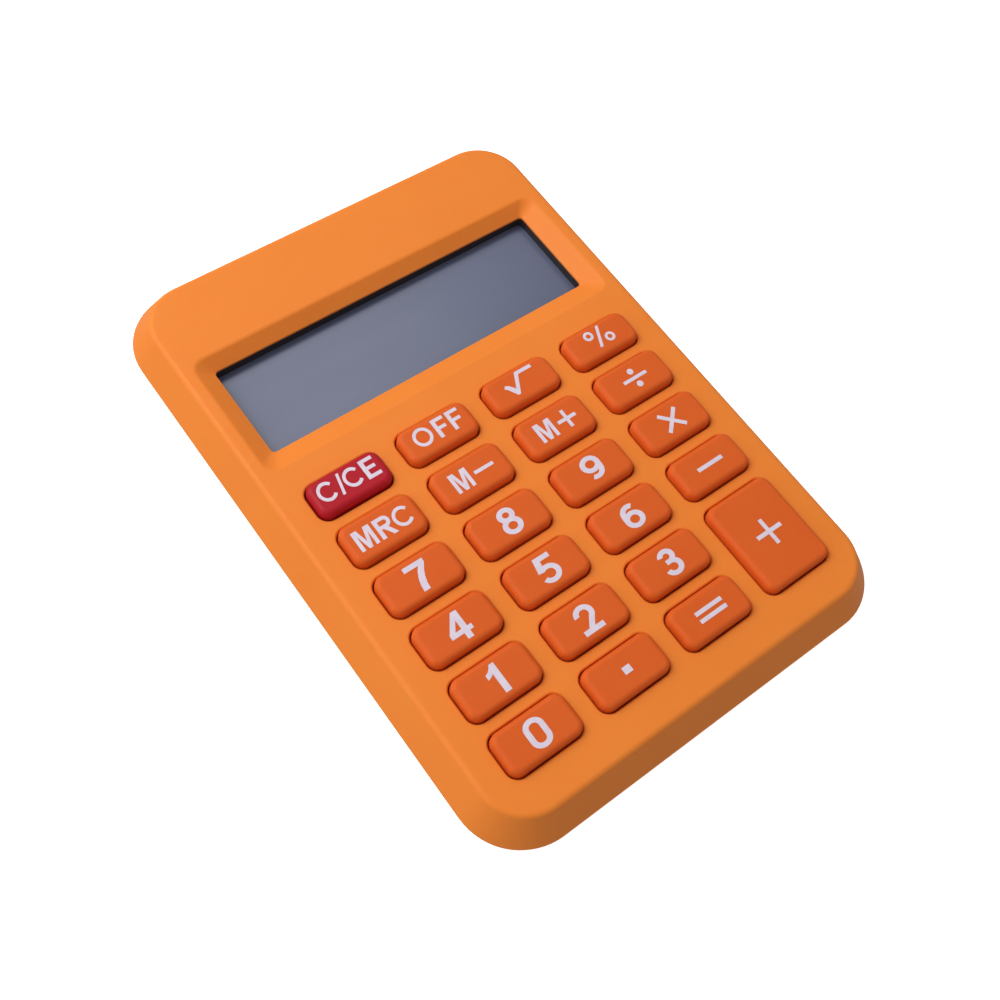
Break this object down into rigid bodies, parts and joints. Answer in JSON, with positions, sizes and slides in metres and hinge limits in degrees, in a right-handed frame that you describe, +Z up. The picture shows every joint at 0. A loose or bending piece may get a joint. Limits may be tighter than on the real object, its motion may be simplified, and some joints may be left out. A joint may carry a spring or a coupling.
{
  "type": "desk calculator",
  "caption": "Slim pocket-size desk calculator with a recessed liquid crystal display, sloping sides, sprung keys over a rubber dome mat, and rubber feet.",
  "frame": {"origin": "on the table, under the middle of the case: the centre of the bounding box's bottom, at the underside of the feet", "axes": "+Z up out of the key tops, +Y along the length towards the display, +X to the user's right"},
  "size_m": [0.086, 0.119, 0.0116],
  "materials": {
    "front_casing": "satin moulded, fine grain",
    "rear_casing": "satin moulded, fine grain",
    "key_orange": "satin moulded",
    "key_red": "satin moulded",
    "mat": "matt silicone rubber",
    "feet": "matt",
    "mask": "matt black",
    "polariser": "anti-glare film",
    "display_glass": "clear",
    "reflector": "satin foil",
    "connector_rubber": "layered elastomer",
    "foam": "open-cell foam",
    "board": "solder mask on glass-fibre laminate",
    "potting": "epoxy",
    "ceramic": "fired ceramic",
    "cell": "bright",
    "contacts": "nickel plated spring strip",
    "legend_ink": "printed ink",
    "screws": "zinc plated"
  },
  "bodies": {
    "casing": {"front_cover": "front_casing", "rear_cover": "rear_casing", "rubber_feet": "feet", "case_screws": "screws", "board_screws": "screws", "battery_door_screw": "screws", "keypad_mat": "mat", "rubber_domes": "mat", "lcd_frame": "mask", "lcd_front_polariser": "polariser", "lcd_front_glass": "display_glass", "lcd_rear_glass": "display_glass", "lcd_reflector": "reflector", "zebra_strip": "connector_rubber", "foam_strip": "foam", "circuit_board": "board", "controller_chip": "potting", "ceramic_capacitors": "ceramic", "chip_resistor": "ceramic", "button_cell": "cell", "battery_contact_plus": "contacts", "battery_contact_minus": "contacts", "battery_door": "rear_casing"},
    "key_clear": {"key_clear": "key_red"},
    "key_off": {"key_off": "key_orange"},
    "key_root": {"key_root": "key_orange"},
    "key_percent": {"key_percent": "key_orange"},
    "key_memory_recall": {"key_memory_recall": "key_orange"},
    "key_memory_minus": {"key_memory_minus": "key_orange"},
    "key_memory_plus": {"key_memory_plus": "key_orange"},
    "key_divide": {"key_divide": "key_orange"},
    "key_7": {"key_7": "key_orange"},
    "key_8": {"key_8": "key_orange"},
    "key_9": {"key_9": "key_orange"},
    "key_multiply": {"key_multiply": "key_orange"},
    "key_4": {"key_4": "key_orange"},
    "key_5": {"key_5": "key_orange"},
    "key_6": {"key_6": "key_orange"},
    "key_minus": {"key_minus": "key_orange"},
    "key_1": {"key_1": "key_orange"},
    "key_2": {"key_2": "key_orange"},
    "key_3": {"key_3": "key_orange"},
    "key_0": {"key_0": "key_orange"},
    "key_point": {"key_point": "key_orange"},
    "key_equals": {"key_equals": "key_orange"},
    "key_plus": {"key_plus": "key_orange"}
  },
  "joints": [
    {"name": "clear_press", "type": "slide", "parent": "casing", "child": "key_clear", "axis": [0, 0, 1], "range_m": [-0.001, 0], "stiffness_N_per_m": 450, "springref_m": 0.0003, "deforming": ["rubber_domes"]},
    {"name": "off_press", "type": "slide", "parent": "casing", "child": "key_off", "axis": [0, 0, 1], "range_m": [-0.001, 0], "stiffness_N_per_m": 450, "springref_m": 0.0003, "deforming": ["rubber_domes"]},
    {"name": "root_press", "type": "slide", "parent": "casing", "child": "key_root", "axis": [0, 0, 1], "range_m": [-0.001, 0], "stiffness_N_per_m": 450, "springref_m": 0.0003, "deforming": ["rubber_domes"]},
    {"name": "percent_press", "type": "slide", "parent": "casing", "child": "key_percent", "axis": [0, 0, 1], "range_m": [-0.001, 0], "stiffness_N_per_m": 450, "springref_m": 0.0003, "deforming": ["rubber_domes"]},
    {"name": "memory_recall_press", "type": "slide", "parent": "casing", "child": "key_memory_recall", "axis": [0, 0, 1], "range_m": [-0.001, 0], "stiffness_N_per_m": 450, "springref_m": 0.0003, "deforming": ["rubber_domes"]},
    {"name": "memory_minus_press", "type": "slide", "parent": "casing", "child": "key_memory_minus", "axis": [0, 0, 1], "range_m": [-0.001, 0], "stiffness_N_per_m": 450, "springref_m": 0.0003, "deforming": ["rubber_domes"]},
    {"name": "memory_plus_press", "type": "slide", "parent": "casing", "child": "key_memory_plus", "axis": [0, 0, 1], "range_m": [-0.001, 0], "stiffness_N_per_m": 450, "springref_m": 0.0003, "deforming": ["rubber_domes"]},
    {"name": "divide_press", "type": "slide", "parent": "casing", "child": "key_divide", "axis": [0, 0, 1], "range_m": [-0.001, 0], "stiffness_N_per_m": 450, "springref_m": 0.0003, "deforming": ["rubber_domes"]},
    {"name": "digit_7_press", "type": "slide", "parent": "casing", "child": "key_7", "axis": [0, 0, 1], "range_m": [-0.001, 0], "stiffness_N_per_m": 450, "springref_m": 0.0003, "deforming": ["rubber_domes"]},
    {"name": "digit_8_press", "type": "slide", "parent": "casing", "child": "key_8", "axis": [0, 0, 1], "range_m": [-0.001, 0], "stiffness_N_per_m": 450, "springref_m": 0.0003, "deforming": ["rubber_domes"]},
    {"name": "digit_9_press", "type": "slide", "parent": "casing", "child": "key_9", "axis": [0, 0, 1], "range_m": [-0.001, 0], "stiffness_N_per_m": 450, "springref_m": 0.0003, "deforming": ["rubber_domes"]},
    {"name": "multiply_press", "type": "slide", "parent": "casing", "child": "key_multiply", "axis": [0, 0, 1], "range_m": [-0.001, 0], "stiffness_N_per_m": 450, "springref_m": 0.0003, "deforming": ["rubber_domes"]},
    {"name": "digit_4_press", "type": "slide", "parent": "casing", "child": "key_4", "axis": [0, 0, 1], "range_m": [-0.001, 0], "stiffness_N_per_m": 450, "springref_m": 0.0003, "deforming": ["rubber_domes"]},
    {"name": "digit_5_press", "type": "slide", "parent": "casing", "child": "key_5", "axis": [0, 0, 1], "range_m": [-0.001, 0], "stiffness_N_per_m": 450, "springref_m": 0.0003, "deforming": ["rubber_domes"]},
    {"name": "digit_6_press", "type": "slide", "parent": "casing", "child": "key_6", "axis": [0, 0, 1], "range_m": [-0.001, 0], "stiffness_N_per_m": 450, "springref_m": 0.0003, "deforming": ["rubber_domes"]},
    {"name": "minus_press", "type": "slide", "parent": "casing", "child": "key_minus", "axis": [0, 0, 1], "range_m": [-0.001, 0], "stiffness_N_per_m": 450, "springref_m": 0.0003, "deforming": ["rubber_domes"]},
    {"name": "digit_1_press", "type": "slide", "parent": "casing", "child": "key_1", "axis": [0, 0, 1], "range_m": [-0.001, 0], "stiffness_N_per_m": 450, "springref_m": 0.0003, "deforming": ["rubber_domes"]},
    {"name": "digit_2_press", "type": "slide", "parent": "casing", "child": "key_2", "axis": [0, 0, 1], "range_m": [-0.001, 0], "stiffness_N_per_m": 450, "springref_m": 0.0003, "deforming": ["rubber_domes"]},
    {"name": "digit_3_press", "type": "slide", "parent": "casing", "child": "key_3", "axis": [0, 0, 1], "range_m": [-0.001, 0], "stiffness_N_per_m": 450, "springref_m": 0.0003, "deforming": ["rubber_domes"]},
    {"name": "digit_0_press", "type": "slide", "parent": "casing", "child": "key_0", "axis": [0, 0, 1], "range_m": [-0.001, 0], "stiffness_N_per_m": 450, "springref_m": 0.0003, "deforming": ["rubber_domes"]},
    {"name": "point_press", "type": "slide", "parent": "casing", "child": "key_point", "axis": [0, 0, 1], "range_m": [-0.001, 0], "stiffness_N_per_m": 450, "springref_m": 0.0003, "deforming": ["rubber_domes"]},
    {"name": "equals_press", "type": "slide", "parent": "casing", "child": "key_equals", "axis": [0, 0, 1], "range_m": [-0.001, 0], "stiffness_N_per_m": 450, "springref_m": 0.0003, "deforming": ["rubber_domes"]},
    {"name": "plus_press", "type": "slide", "parent": "casing", "child": "key_plus", "axis": [0, 0, 1], "range_m": [-0.001, 0], "stiffness_N_per_m": 450, "springref_m": 0.0003, "deforming": ["rubber_domes"]}
  ]
}
